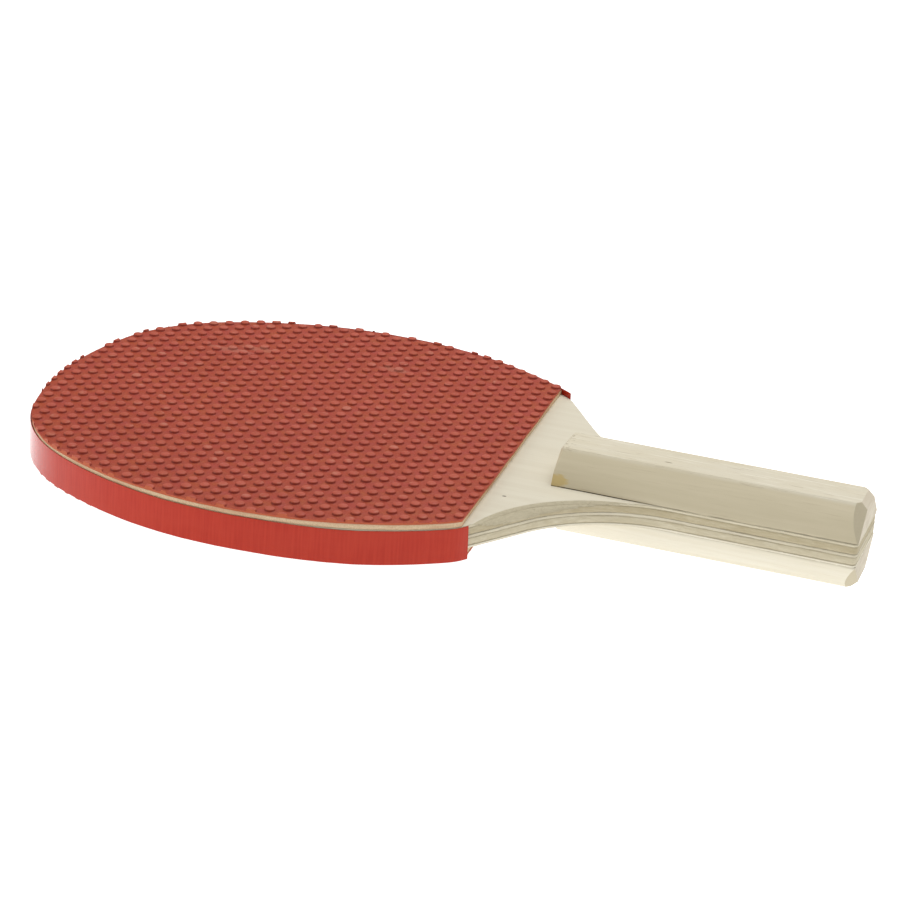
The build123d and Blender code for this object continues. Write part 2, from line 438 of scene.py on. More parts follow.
# ---- Node materials ----------------------------------------------------------------------------
class Shader:
    """A node material under construction: most calls add nodes and return their output."""

    def __init__(self, name, **uniform):
        self.material = bpy.data.materials.new(name)
        self.material.use_nodes = True
        self.tree = self.material.node_tree
        self.surface = self.tree.nodes["Principled BSDF"]
        for socket, value in uniform.items():
            self.surface.inputs[socket.replace("_", " ")].default_value = value
        coordinates = self.tree.nodes.new("ShaderNodeTexCoord")
        millimetres = self.tree.nodes.new("ShaderNodeVectorMath")
        millimetres.operation = "SCALE"
        millimetres.inputs["Scale"].default_value = 1 / MM
        self.tree.links.new(coordinates.outputs["Object"], millimetres.inputs[0])
        self.place = millimetres.outputs[0]

    def put(self, socket, value):
        """Link another node's output to a socket, or set the socket to a plain value."""
        if isinstance(value, bpy.types.NodeSocket):
            self.tree.links.new(value, socket)
        else:
            socket.default_value = value

    def noise(self, scale, detail, rough=0.5, offset=(0, 0, 0), distortion=0.0):
        """Noise of the place in millimetres times the scale, plus the offset."""
        mapping = self.tree.nodes.new("ShaderNodeMapping")
        self.put(mapping.inputs["Vector"], self.place)
        mapping.inputs["Scale"].default_value = scale
        mapping.inputs["Location"].default_value = offset
        node = self.tree.nodes.new("ShaderNodeTexNoise")
        self.put(node.inputs["Vector"], mapping.outputs[0])
        node.inputs["Scale"].default_value = 1.0
        node.inputs["Detail"].default_value = detail
        node.inputs["Roughness"].default_value = rough
        node.inputs["Distortion"].default_value = distortion
        return node.outputs["Fac"]

    def math(self, operation, a, b=0.0):
        node = self.tree.nodes.new("ShaderNodeMath")
        node.operation = operation
        self.put(node.inputs[0], a)
        self.put(node.inputs[1], b)
        return node.outputs[0]

    def times(self, a, b):
        return self.math("MULTIPLY", a, b)

    def vector_math(self, operation, a, b=None):
        """A vector operation on a linked vector and, where given, a fixed one."""
        node = self.tree.nodes.new("ShaderNodeVectorMath")
        node.operation = operation
        self.put(node.inputs[0], a)
        if b is not None:
            node.inputs[1].default_value = b
        return node.outputs["Value" if operation == "LENGTH" else "Vector"]

    def band(self, value, low, high, to_low=0.0, to_high=1.0):
        """A value's range mapped to another range, clamped and eased."""
        node = self.tree.nodes.new("ShaderNodeMapRange")
        node.interpolation_type = "SMOOTHSTEP"
        for socket, number in zip(node.inputs[:5], (value, low, high, to_low, to_high)):
            self.put(socket, number)
        return node.outputs[0]

    def mix(self, share, a, b):
        """A colour between a, at share 0, and b, at share 1."""
        node = self.tree.nodes.new("ShaderNodeMix")
        node.data_type = "RGBA"
        self.put(node.inputs[0], share)
        self.put(node.inputs[6], a)
        self.put(node.inputs[7], b)
        return node.outputs[2]

    def axis(self, index):
        """One coordinate of the place, in millimetres."""
        node = self.tree.nodes.new("ShaderNodeSeparateXYZ")
        self.put(node.inputs[0], self.place)
        return node.outputs[index]

    def spot(self, centre, size, ragged):
        """1 in an ellipsoid, 0 outside it, with a rim that fades out and is noisy."""
        shifted = self.vector_math("SUBTRACT", self.place, centre)
        away = self.vector_math("LENGTH", self.vector_math("DIVIDE", shifted, size))
        rim = self.noise(tuple(2.5 / s for s in size), 3.0)
        away = self.math("ADD", away, self.times(rim, ragged))
        return self.band(away, 1.0 + ragged / 2, 0.6 + ragged / 2)

    def bump(self, height, distance, strength):
        """A bumpy normal from a height, with the distance in millimetres."""
        node = self.tree.nodes.new("ShaderNodeBump")
        node.inputs["Distance"].default_value = distance * MM
        node.inputs["Strength"].default_value = strength
        self.put(node.inputs["Height"], height)
        return node.outputs[0]

    def done(self, colour, roughness=None, normal=None):
        self.put(self.surface.inputs["Base Color"], colour)
        if roughness is not None:
            self.put(self.surface.inputs["Roughness"], roughness)
        if normal is not None:
            self.put(self.surface.inputs["Normal"], normal)
        return self.material


def rgb(red, green, blue):
    """A linear colour from 0-255 sRGB numbers."""
    linear = [((c / 255 + 0.055) / 1.055) ** 2.4 for c in (red, green, blue)]
    return (*linear, 1.0)


def rubber_material():
    """Red rubber with painted shade on the pimples' side walls, paler rubbed tops and dusty
    smears.
    """
    s = Shader("red_rubber", Specular_IOR_Level=0.22)
    mottle = s.noise((0.03, 0.03, 0.03), 3.0)
    patches = s.noise((0.2, 0.2, 0.2), 4.0, 0.65, (2, 9, 4))
    grain = s.noise((1.6, 1.6, 1.6), 4.0)
    body = s.mix(mottle, rgb(158, 62, 40), rgb(174, 74, 48))
    body = s.mix(s.band(patches, 0.38, 0.5, 0.5, 0.0), body, rgb(168, 66, 58))
    body = s.mix(s.band(patches, 0.52, 0.66, 0.0, 0.5), body, rgb(172, 84, 40))
    body = s.mix(s.band(grain, 0.35, 0.75, 0.0, 0.3), body, rgb(140, 48, 30))
    height = s.math("ABSOLUTE", s.axis(2))
    foot = s.band(height, RUBBER_BASE_TOP + 0.03, RUBBER_BASE_TOP + 0.14)
    top = s.band(height, PIMPLE_TOP - 0.4, PIMPLE_TOP - 0.06)
    # Painted shade: each pimple's side, from just above its foot to just below its top, is
    # darkened to stand in for its shadow
    painted_wall_shade = s.times(foot, s.math("SUBTRACT", 1.0, top))
    body = s.mix(s.times(painted_wall_shade, 0.75), body, rgb(118, 24, 8))
    rubbed = s.band(s.noise((0.11, 0.11, 0.11), 3.0, 0.6), 0.3, 0.7, 0.35, 1.0)
    body = s.mix(s.times(s.times(top, rubbed), 0.8), body, rgb(188, 90, 70))
    dust = s.band(s.noise((0.19, 0.19, 0.19), 2.0, 0.6, (7, 3, 1)), 0.58, 0.72)
    body = s.mix(s.times(s.times(top, dust), 0.35), body, rgb(196, 134, 112))
    for centre, size in RUBBER_SMEARS:
        body = s.mix(s.times(s.spot(centre, size, 0.9), 0.26), body, rgb(198, 140, 118))
    rough = s.band(grain, 0.2, 0.8, 0.42, 0.62)
    fine = s.noise((5.0, 5.0, 5.0), 3.0)
    return s.done(body, rough, s.bump(fine, 0.02, 0.35))


def cut_rubber_material():
    """The rubber's cut edge: paler and duller than its face."""
    s = Shader("cut_red_rubber", Specular_IOR_Level=0.25)
    streak = s.noise((0.9, 0.9, 4.0), 3.0)
    colour = s.mix(streak, rgb(172, 78, 48), rgb(198, 106, 70))
    return s.done(colour, 0.6, s.bump(streak, 0.05, 0.5))


def sponge_material():
    """Cream foam with fine cells and warmer, browner patches."""
    s = Shader("cream_sponge", Specular_IOR_Level=0.2)
    cells = s.noise((3.0, 3.0, 3.0), 4.0, 0.7)
    patches = s.noise((0.08, 0.08, 0.5), 2.0)
    colour = s.mix(s.band(cells, 0.3, 0.7), rgb(206, 176, 140), rgb(230, 206, 172))
    colour = s.mix(s.band(patches, 0.4, 0.7, 0.0, 0.5), colour, rgb(196, 148, 112))
    return s.done(colour, 0.85, s.bump(cells, 0.1, 0.7))


def tape_material():
    """Smooth red plastic tape with faint upright streaks."""
    s = Shader("red_tape", IOR=1.24, Coat_Weight=1.0, Coat_Roughness=0.2, Coat_IOR=1.2)
    streaks = s.noise((1.6, 1.6, 0.08), 3.0)
    patches = s.noise((0.05, 0.05, 0.2), 2.0)
    colour = s.mix(s.band(streaks, 0.3, 0.7), rgb(180, 40, 16), rgb(190, 50, 26))
    colour = s.mix(s.band(patches, 0.35, 0.7, 0.0, 0.4), colour, rgb(190, 54, 30))
    rough = s.band(streaks, 0.3, 0.7, 0.22, 0.26)
    return s.done(colour, rough, s.bump(streaks, 0.02, 0.06))


def wood_face_material(name, light, dark, offset):
    """Long grain seen on a face: faint lines and fine pores along X, and one dark speck."""
    s = Shader(name, Specular_IOR_Level=0.25)
    bands = s.noise((0.012, 0.3, 0.3), 3.0, 0.6, offset, 0.4)
    pores = s.noise((0.12, 5.0, 5.0), 4.0, 0.6, offset)
    colour = s.mix(s.band(bands, 0.3, 0.75), light, dark)
    colour = s.mix(s.band(pores, 0.55, 0.8, 0.0, 0.16), colour, rgb(176, 158, 124))
    colour = s.mix(s.times(s.spot(*NECK_SPECK, 0.5), 0.8), colour, rgb(70, 62, 50))
    return s.done(colour, 0.62, s.bump(pores, 0.03, 0.5))


def sanded_material():
    """The bevel sanded across the plies: darker than the faces, with flecks and fine scratches."""
    s = Shader("sanded_bevel", Specular_IOR_Level=0.2)
    fibres = s.noise((0.5, 0.5, 3.0), 4.0, 0.65, (4, 4, 1))
    flecks = s.noise((1.4, 1.4, 4.0), 3.0, 0.6, (1, 6, 2))
    colour = s.mix(s.band(fibres, 0.3, 0.7), rgb(203, 193, 166), rgb(189, 179, 152))
    colour = s.mix(s.band(flecks, 0.56, 0.72, 0.0, 0.5), colour, rgb(158, 144, 114))
    return s.done(colour, 0.75, s.bump(fibres, 0.06, 0.6))


def ply_edge_material(name, light, dark, low, high, end_grain, offset):
    """A ply's cut edge: its grain, torn fibres, and dark glue along its borders inside the
    blade."""
    s = Shader(name, Specular_IOR_Level=0.2)
    if end_grain:
        fibres = s.noise((0.3, 0.4, 2.0), 5.0, 0.7, offset)
    else:
        fibres = s.noise((0.06, 0.3, 3.0), 4.0, 0.6, offset)
    patches = s.noise((0.06, 0.06, 0.5), 3.0, 0.6, offset)
    colour = s.mix(s.band(fibres, 0.3, 0.7), light, dark)
    colour = s.mix(s.band(patches, 0.4, 0.65, 0.0, 0.6), colour, dark)
    height = s.axis(2)
    wander = s.times(s.math("SUBTRACT", s.noise((0.25, 0.25, 0.25), 4.0), 0.5), 0.25)
    height = s.math("ADD", height, wander)
    broken = s.band(s.noise((0.07, 0.07, 0.6), 4.0, 0.65, offset), 0.4, 0.6, 0.08, 0.7)
    borders = []
    if low > -BLADE_TOP:
        borders.append(s.band(height, low + 0.34, low + 0.1))
    if high < BLADE_TOP:
        borders.append(s.band(height, high - 0.3, high - 0.08))
    for border in borders:
        colour = s.mix(s.times(border, broken), colour, rgb(116, 102, 78))
    return s.done(colour, 0.72, s.bump(fibres, 0.1, 0.6))


def scale_wood_material(name, top, light, dark, offset):
    """A handle scale's long grain, with dark and pale streaks near its flat, a dark glue line at
    the blade that is partly painted shade and weaker on the lower scale, chips at the front and,
    on the upper scale, flecks and an ochre glue stain."""
    s = Shader(name, Specular_IOR_Level=0.25)
    bands = s.noise((0.012, 0.25, 0.25), 3.0, 0.6, offset, 0.5)
    pores = s.noise((0.1, 3.6, 3.6), 4.0, 0.65, offset)
    soft = s.noise((0.05, 0.12, 0.12), 2.0, 0.5, offset)
    height = s.math("ABSOLUTE", s.axis(2))
    side = s.mix(s.band(bands, 0.3, 0.75), light, dark)
    flat = s.band(height, SCALE_TOP - 1.0, SCALE_TOP - 0.15)
    colour = s.mix(flat, side, s.mix(s.band(bands, 0.35, 0.8, 0.0, 0.5), top, light))
    colour = s.mix(s.band(soft, 0.35, 0.7, 0.0, 0.3), colour, dark)
    colour = s.mix(s.band(pores, 0.56, 0.8, 0.0, 0.35), colour, rgb(170, 150, 114))
    ridge = s.band(height, SCALE_TOP - 1.3, SCALE_TOP - 0.5)
    ridge = s.times(ridge, s.band(s.noise((0.12, 1.5, 1.5), 4.0, 0.7, offset), 0.56, 0.68))
    colour = s.mix(s.times(ridge, 0.4), colour, rgb(160, 142, 110))
    front = s.band(s.axis(0), SCALE_FRONT_X + 6.0, SCALE_FRONT_X + 0.8)
    chips = s.band(s.noise((0.45, 0.9, 0.9), 4.0, 0.7, offset), 0.54, 0.62)
    chips = s.times(s.times(front, chips), flat)
    colour = s.mix(s.times(chips, 0.6), colour, rgb(150, 134, 104))
    for centre in SCALE_FLECKS:
        fleck = s.spot(centre, FLECK_SIZE, 0.5)
        colour = s.mix(s.times(fleck, 0.7), colour, rgb(118, 100, 70))
    pale = s.band(height, SCALE_TOP - 0.5, SCALE_TOP - 0.1)
    pale = s.times(pale, s.band(s.noise((0.05, 1.1, 1.1), 4.0, 0.7, (9, 2, 6)), 0.55, 0.66))
    colour = s.mix(s.times(pale, 0.5), colour, rgb(236, 231, 216))
    # Partly painted shade: a dark band along the scale's glued foot is partly glue line and partly
    # shade where the scale meets the blade, and is weaker on the lower scale, which the floor
    # lights
    glue_line_and_shade = s.band(height, BLADE_TOP + 0.4, BLADE_TOP + 0.12)
    glue_line_and_shade = s.times(glue_line_and_shade, s.band(s.axis(2), -BLADE_TOP, BLADE_TOP, 0.25, 1.0))
    gaps = s.band(s.noise((0.06, 0.06, 0.06), 3.0, 0.6, offset), 0.4, 0.56, 0.1, 0.6)
    gaps = s.math("MAXIMUM", gaps, s.band(s.axis(0), 70.0, 56.0))
    colour = s.mix(s.times(glue_line_and_shade, gaps), colour, rgb(72, 62, 46))
    colour = s.mix(s.times(s.spot(*GLUE_STAIN, 0.8), 0.75), colour, rgb(206, 180, 112))
    return s.done(colour, 0.6, s.bump(pores, 0.04, 0.5))


def scale_end_material():
    """The end grain of a handle scale."""
    s = Shader("handle_end_grain", Specular_IOR_Level=0.2)
    pores = s.noise((3.0, 3.0, 3.0), 4.0, 0.7)
    bands = s.noise((0.2, 0.12, 0.5), 2.0)
    colour = s.mix(s.band(bands, 0.3, 0.7), rgb(222, 213, 194), rgb(210, 199, 178))
    colour = s.mix(s.band(pores, 0.5, 0.8, 0.0, 0.4), colour, rgb(166, 148, 120))
    return s.done(colour, 0.75, s.bump(pores, 0.05, 0.5))


def scale_facet_material():
    """The sanded facets at a handle scale's corners."""
    s = Shader("handle_corner_facet", Specular_IOR_Level=0.3)
    pores = s.noise((2.0, 1.2, 2.0), 4.0, 0.7)
    colour = s.mix(pores, rgb(186, 175, 148), rgb(200, 190, 164))
    return s.done(colour, 0.7, s.bump(pores, 0.05, 0.5))


# ---- Pieces ------------------------------------------------------------------------------------
def place(piece, slot, *nodes):
    """Let a piece ride on the only body and stand for its CAD node."""
    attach(piece, "root")
    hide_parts(*nodes)
    return piece


def ply_piece(node, slot, seed, materials, rough):
    """One ply: a stack of rings whose inset gives the eased edge, the sanded neck bevel and
    the small steps and torn fibres of the cut edge."""
    low, high = node_box(node)
    outline = blade_loop()
    thickness = high.z - low.z
    rings = []
    for share in PLY_LEVELS:
        z = low.z + thickness * share
        groove = PLY_GROOVE * (abs(share - 0.5) * 2) ** 8
        ring = []
        for point, normal in outline:
            spot = (point.x, point.y, z)
            torn = PLY_WAVE * wobble(spot, 9.0, seed)
            torn += PLY_TEAR * abs(wobble(spot, 1.1, seed + 3))
            inset = PLY_INSET + groove + max(rough * torn, -PLY_OVERHANG)
            inset += bevel_inset(point, z)
            ring.append((*(point - normal * inset), z))
        rings.append(ring)
    # An even ring a little inside each end keeps the caps' outlines free of the torn fibres
    caps = []
    for z in (low.z, high.z):
        even = [point - normal * (CAP_INSET + bevel_inset(point, z)) for point, normal in outline]
        caps.append([(*point, z) for point in even])
    rings = [caps[0]] + rings + [caps[1]]
    bm = bmesh.new()
    rings_to_solid(bm, rings)
    split_caps(bm)
    bmesh.ops.recalc_face_normals(bm, faces=bm.faces[:])
    for face in bm.faces:
        # Level faces are the ply's own, steep ones its cut edge, and those between the bevel
        level = abs(face.normal.z)
        face.material_index = 1 if level < 0.35 else 2 if level < 0.93 else 0
    piece = finish_bmesh(bm, node.replace("_ply", "") + "_wood", EDGE_CREASE)
    for material in materials:
        piece.data.materials.append(material)
    return place(piece, slot, node)


def trimmed_outline(end_x, seed):
    """The head's outline as a hand trims it: it wanders in from the true line."""
    ring = []
    for point, normal in sheet_loop(end_x, SHEET_STEP):
        spot = (point.x, point.y, 0.0)
        wave = 0.6 * wobble(spot, 45.0, seed) + 0.4 * wobble(spot, 12.0, seed + 1)
        off = TRIM_INSET + TRIM_WANDER * wave
        off += 0.15 * TRIM_WANDER * wobble(spot, 2.5, seed + 2)
        ring.append(point - normal * max(off, -TRIM_OVERHANG))
    return ring


def pimple_cells(end_x):
    """Centres of the pimples, as in the CAD model, over and a little past the sheet."""
    border = [point for point, normal in sheet_loop(end_x, 2.0)]
    xs = np.array([p.x for p in border])
    ys = np.array([p.y for p in border])
    row_step = PIMPLE_PITCH * sqrt(3) / 2
    rows = ceil((end_x - TIP_X) / row_step) + 1
    columns = ceil(HALF_WIDTH / PIMPLE_PITCH) + 1
    for row in range(-1, rows + 1):
        back = FIRST_ROW_INSET + row * row_step
        for column in range(-columns, columns + 1):
            across = (column + (row % 2) / 2) * PIMPLE_PITCH
            x = end_x - back * cos(SHEET_SKEW) - across * sin(SHEET_SKEW)
            y = across * cos(SHEET_SKEW) - back * sin(SHEET_SKEW)
            inside = point_inside(x, y, xs, ys)
            if inside or np.hypot(xs - x, ys - y).min() < CUT_MARGIN:
                yield x, y


def point_inside(x, y, xs, ys):
    """Whether a point lies inside the closed outline through the given corners."""
    x2, y2 = np.roll(xs, -1), np.roll(ys, -1)
    crosses = ((ys > y) != (y2 > y)) & (x < (x2 - xs) * (y - ys) / (y2 - ys + 1e-12) + xs)
    return bool(crosses.sum() % 2)


def pimpled_piece(node, end_x, seed, facing, materials):
    """A rubber sheet built from one six-sided cell per pimple and trimmed along its edge, so
    that the pimples on the edge are cut through."""
    turns = np.arange(PIMPLE_SIDES) * 2 * pi / PIMPLE_SIDES
    hexagon = PIMPLE_PITCH / 2 / np.cos((turns % (pi / 3)) - pi / 6)
    turns = turns + SHEET_SKEW
    profile = (
        (PIMPLE_ROOT_RADIUS + PIMPLE_FILLET, 0.0),
        (PIMPLE_ROOT_RADIUS, PIMPLE_FILLET_TOP),
        (PIMPLE_TIP_RADIUS + 0.02, PIMPLE_RIM_START),
        (PIMPLE_TIP_RADIUS - PIMPLE_RIM, PIMPLE_HEIGHT),
    )
    rng = np.random.default_rng(seed)
    verts, faces, keys = [], [], {}
    for x, y in pimple_cells(end_x):
        dx, dy = rng.normal(0, PIMPLE_SHIFT, 2)
        grow = 1 + rng.normal(0, PIMPLE_GROWTH)
        sink = -abs(rng.normal(0, PIMPLE_SINK))
        tilt = rng.normal(0, PIMPLE_LEAN, 2)
        loops = []
        ring = []
        for angle, radius in zip(turns, hexagon):
            co = (x + radius * cos(angle), y + radius * sin(angle))
            key = (round(co[0], 2), round(co[1], 2))
            if key not in keys:
                keys[key] = len(verts)
                verts.append((*co, 0.0))
            ring.append(keys[key])
        loops.append(ring)
        for radius, height in profile:
            ring = []
            for angle in turns:
                px, py = radius * grow * cos(angle), radius * grow * sin(angle)
                pz = height + (sink + tilt[0] * px + tilt[1] * py) * (height / PIMPLE_HEIGHT)
                ring.append(len(verts))
                verts.append((x + dx + px, y + dy + py, min(pz, PIMPLE_HEIGHT)))
            loops.append(ring)
        top = len(verts)
        verts.append((x + dx, y + dy, PIMPLE_HEIGHT + sink - PIMPLE_DISH))
        around = [(i, (i + 1) % PIMPLE_SIDES) for i in range(PIMPLE_SIDES)]
        for outer, inner in zip(loops, loops[1:]):
            faces += [(outer[i], outer[j], inner[j], inner[i]) for i, j in around]
        faces += [(loops[-1][i], loops[-1][j], top) for i, j in around]
    bm = bmesh.new()
    made = [bm.verts.new((vx, vy, RUBBER_BASE_TOP + vz)) for vx, vy, vz in verts]
    for face in faces:
        bm.faces.new([made[i] for i in face])
    rim = [edge for edge in bm.edges if edge.is_boundary]
    walls = bmesh.ops.extrude_edge_only(bm, edges=rim)["geom"]
    low_verts = [v for v in walls if isinstance(v, bmesh.types.BMVert)]
    for vert in low_verts:
        vert.co.z = SPONGE_TOP - 1.0
    low_edges = [e for e in walls if isinstance(e, bmesh.types.BMEdge) and e.is_boundary]
    bmesh.ops.contextual_create(bm, geom=low_edges)
    split_caps(bm)
    sheet = finish_bmesh(bm, node + "_sheet", RUBBER_CREASE)

    outline = trimmed_outline(end_x, seed + 5)
    bm = bmesh.new()
    rings_to_solid(bm, [[(*p, z) for p in outline] for z in (SPONGE_TOP, PIMPLE_TOP + 1.0)])
    split_caps(bm)
    cutter = finish_bmesh(bm, node + "_cutter", RUBBER_CREASE)
    modifier = sheet.modifiers.new("trim", "BOOLEAN")
    modifier.operation = "INTERSECT"
    modifier.solver = "MANIFOLD"
    modifier.object = cutter
    apply_modifiers(sheet)
    bpy.data.objects.remove(cutter)

    bm = reopened(sheet)
    for vert in bm.verts:
        sag = RUBBER_SAG * wobble((vert.co.x, vert.co.y, 0.0), 40.0, seed)
        if vert.co.z > SPONGE_TOP + 0.1:
            vert.co.z += min(sag, 0.0)
    if facing < 0:
        bmesh.ops.scale(bm, vec=(1, 1, -1), verts=bm.verts[:])
    bmesh.ops.recalc_face_normals(bm, faces=bm.faces[:])
    for face in bm.faces:
        face.material_index = 1 if abs(face.normal.z) < 0.05 else 0
    piece = finish_bmesh(bm, node + "_sheet", RUBBER_CREASE)
    for material in materials:
        piece.data.materials.append(material)
    return place(piece, "red_rubber", node)


def sponge_piece(node, end_x, seed, facing, material):
    """The foam sheet between blade and rubber, its cut edge slightly rough and set in."""
    rings = []
    for share, inset in FOAM_LEVELS:
        z = BLADE_TOP + (SPONGE_TOP - BLADE_TOP) * share
        ring = []
        for point, normal in sheet_loop(end_x, SHEET_STEP):
            spot = (point.x, point.y, z)
            off = FOAM_INSET + inset + FOAM_WAVE * wobble(spot, 25.0, seed)
            off += FOAM_TEAR * wobble(spot, 1.3, seed + 1)
            ring.append((*(point - normal * off), z * facing))
        rings.append(ring)
    bm = bmesh.new()
    rings_to_solid(bm, rings)
    split_caps(bm)
    piece = finish_bmesh(bm, node + "_foam", EDGE_CREASE)
    piece.data.materials.append(material)
    return place(piece, "cream_sponge", node)


def tape_piece(material):
    """The band round the head's side: it lies askew, its two edges wander, its two ends are cut
    a little aslant and it shows the step between blade and sponge."""
    path = head_path(TAPE_END_X, TAPE_END_SKEW, TAPE_STEP)
    levels = [i / TAPE_ROWS for i in range(TAPE_ROWS + 1)]
    rows = []
    for i, (point, normal) in enumerate(path):
        spot = (point.x, point.y, 0.0)
        middle = TAPE_MIDDLE + point.y * tan(TAPE_TILT) - TAPE_DIP
        lift = TAPE_LIFT * smoothstep(point.x, *TAPE_LIFT_X)
        lift += TAPE_TIP_LIFT * smoothstep(point.x, *TAPE_TIP_LIFT_X)
        middle += lift * smoothstep(point.y, *TAPE_LIFT_Y)
        wave = TAPE_TOP_WAVE * wobble(spot, 30.0, 41) + TAPE_NICKS * wobble(spot, 3.0, 42)
        top = middle + TAPE_WIDTH / 2 - abs(wave)
        wave = TAPE_BOTTOM_WAVE * wobble(spot, 30.0, 43) + TAPE_NICKS * wobble(spot, 3.0, 44)
        bottom = middle - TAPE_WIDTH / 2 + abs(wave)
        back = max(1.0 - min(i, len(path) - 1 - i) * TAPE_STEP / TAPE_SLANT_RUN, 0.0)
        along = Vector((-normal.y, normal.x)) * (1.0 if i < len(path) / 2 else -1.0)
        outer = []
        inner = []
        for level in levels:
            z = bottom + (top - bottom) * level
            step = TAPE_FACE_STEP * smoothstep(abs(abs(z) - BLADE_TOP - 0.15), 0.35, 0.0)
            ripple = 0.03 + 0.015 * wobble((point.x, point.y, z * 0.15), 2.2, 45)
            ripple += 0.03 * wobble((point.x, point.y, z), 14.0, 46)
            out = TAPE_THICKNESS - step - max(ripple, 0.02)
            if level in (0.0, 1.0):
                out -= 0.05
            base = point - along * (back * TAPE_SLANT * level)
            outer.append((*(base + normal * out), z))
            inner.append((*(base + normal * TAPE_BACK), z))
        rows.append(outer + inner[::-1])
    bm = bmesh.new()
    rings_to_solid(bm, rows)
    piece = finish_bmesh(bm, "edge_tape_band", EDGE_CREASE)
    piece.data.materials.append(material)
    return place(piece, "red_tape", "edge_tape")


def scale_section(x, seed, facing):
    """Points round a handle scale's section at x, with the slight unevenness of hand sanding
    and a narrow groove where the scale is glued down."""
    base = Vector((HANDLE_HALF, BLADE_TOP))
    ridge = Vector((SCALE_FLAT_HALF, SCALE_TOP))
    lean = ridge - base
    out = Vector((lean.y, -lean.x)).normalized()
    half = []
    for t in [0.0, 0.02, SCALE_GROOVE_SHARE] + [i / 12 for i in range(1, 13)]:
        half.append((t, base + lean * t + out * (4 * t * (1 - t) * SCALE_SIDE_BULGE)))
    ring = []
    for side in (1, -1):
        for t, point in half if side > 0 else half[::-1]:
            spot = (x, point.x * side, point.y)
            shrink = SCALE_WAVE * t * wobble(spot, 22.0, seed)
            shrink += SCALE_BOW * wobble(spot, 60.0, seed + 1)
            groove = SCALE_GROOVE * (1 - min(t / SCALE_GROOVE_SHARE, 1.0))
            groove *= 0.7 + 0.6 * wobble((x, 0.0, 0.0), 7.0, seed + 4)
            y = point.x - max(shrink, -0.02) - SCALE_INSET - max(groove, 0.0)
            z = point.y - 0.05 * abs(wobble(spot, 26.0, seed + 2)) * t
            ring.append((x, side * y, facing * z))
    return ring


def plane_through(a, b, c):
    """A plane through three points, as a point and a normal that leans towards +X."""
    normal = (Vector(b) - Vector(a)).cross(Vector(c) - Vector(a)).normalized()
    return a, normal if normal.x > 0 else -normal


def cut_away(bm, planes):
    """Cut a closed bmesh by planes, dropping what lies beyond each and closing the hole."""
    for point, normal in planes:
        parts = bm.verts[:] + bm.edges[:] + bm.faces[:]
        cut = bmesh.ops.bisect_plane(
            bm, geom=parts, plane_co=point, plane_no=normal, clear_outer=True, dist=1e-5
        )
        rim = [e for e in cut["geom_cut"] if isinstance(e, bmesh.types.BMEdge)]
        bmesh.ops.contextual_create(bm, geom=rim)


def scale_piece(node, seed, facing, materials):
    """A handle scale: a stack of sections, chamfered at the butt and the front, with a facet at
    each corner and rounded edges."""
    stations = np.linspace(SCALE_FRONT_X, BUTT_X - BUTT_GAP, SCALE_STATIONS)
    bm = bmesh.new()
    rings_to_solid(bm, [scale_section(float(x), seed, facing) for x in stations])
    top = SCALE_TOP * facing
    planes = [
        ((BUTT_X - BUTT_CHAMFER, 0, top), (1, 0, facing)),
        ((SCALE_FRONT_X + FRONT_CHAMFER, 0, top), (-1, 0, facing * 0.8)),
    ]
    for side in (1, -1):
        planes.append(plane_through(
            (BUTT_X - FACET_BACK, side * SCALE_FLAT_HALF, top),
            (BUTT_X, side * (SCALE_FLAT_HALF - FACET_ACROSS), top),
            (BUTT_X - FACET_FOOT, side * HANDLE_HALF, BLADE_TOP * facing),
        ))
        front_corner = (SCALE_FRONT_X + FRONT_CORNER, side * SCALE_FLAT_HALF, top)
        planes.append((front_corner, (-0.7, side * 0.4, facing * 0.5)))
    cut_away(bm, planes)
    piece = finish_bmesh(bm, node + "_wood", SCALE_CREASE)
    bevel = piece.modifiers.new("ease", "BEVEL")
    bevel.width = EDGE_ROUND * MM
    bevel.segments = 3
    bevel.limit_method = "ANGLE"
    bevel.angle_limit = SCALE_CREASE
    bevel.use_clamp_overlap = True
    apply_modifiers(piece)
    bm = reopened(piece)
    bmesh.ops.recalc_face_normals(bm, faces=bm.faces[:])
    for face in bm.faces:
        normal = face.normal
        end = abs(normal.x) > 0.9 or (normal.x > 0.4 and abs(normal.y) < 0.2)
        face.material_index = 1 if end else 2 if normal.x > 0.3 else 0
    piece = finish_bmesh(bm, node + "_wood", SCALE_CREASE)
    for material in materials:
        piece.data.materials.append(material)
    return place(piece, "handle_wood", node)


def build_plies():
    """The five plies, each with a light and a dark colour for its cut edge."""
    cream = wood_face_material("basswood_face", rgb(218, 211, 191), rgb(213, 205, 184), (5, 2, 9))
    tan_face = wood_face_material(
        "crossband_face", rgb(205, 190, 155), rgb(190, 172, 132), (2, 8, 4)
    )
    sanded = sanded_material()
    # Painted light: the lower plies' edges are lighter than the upper plies' of the same wood,
    # standing in for light from the floor below
    colours = {
        "upper_face_veneer": (rgb(226, 219, 196), rgb(210, 200, 172)),
        "upper_crossband": (rgb(203, 192, 163), rgb(183, 170, 138)),
        "core_ply": (rgb(226, 219, 198), rgb(204, 195, 170)),
        "lower_crossband": (rgb(218, 209, 184), rgb(198, 187, 158)),
        "lower_face_veneer": (rgb(242, 237, 220), rgb(232, 224, 202)),
    }
    for seed, (node, (light, dark)) in enumerate(colours.items()):
        low, high = node_box(node)
        cross = "crossband" in node
        offset = (7 * seed, 3, 5)
        edge = ply_edge_material(node + "_edge", light, dark, low.z, high.z, cross, offset)
        slot = "cross_grain_ply" if cross else "basswood_veneer"
        face = tan_face if cross else cream
        rough = CROSS_GRAIN_ROUGHNESS if cross else LONG_GRAIN_ROUGHNESS
        ply_piece(node, slot, 11 + 9 * seed, [face, edge, sanded], rough)


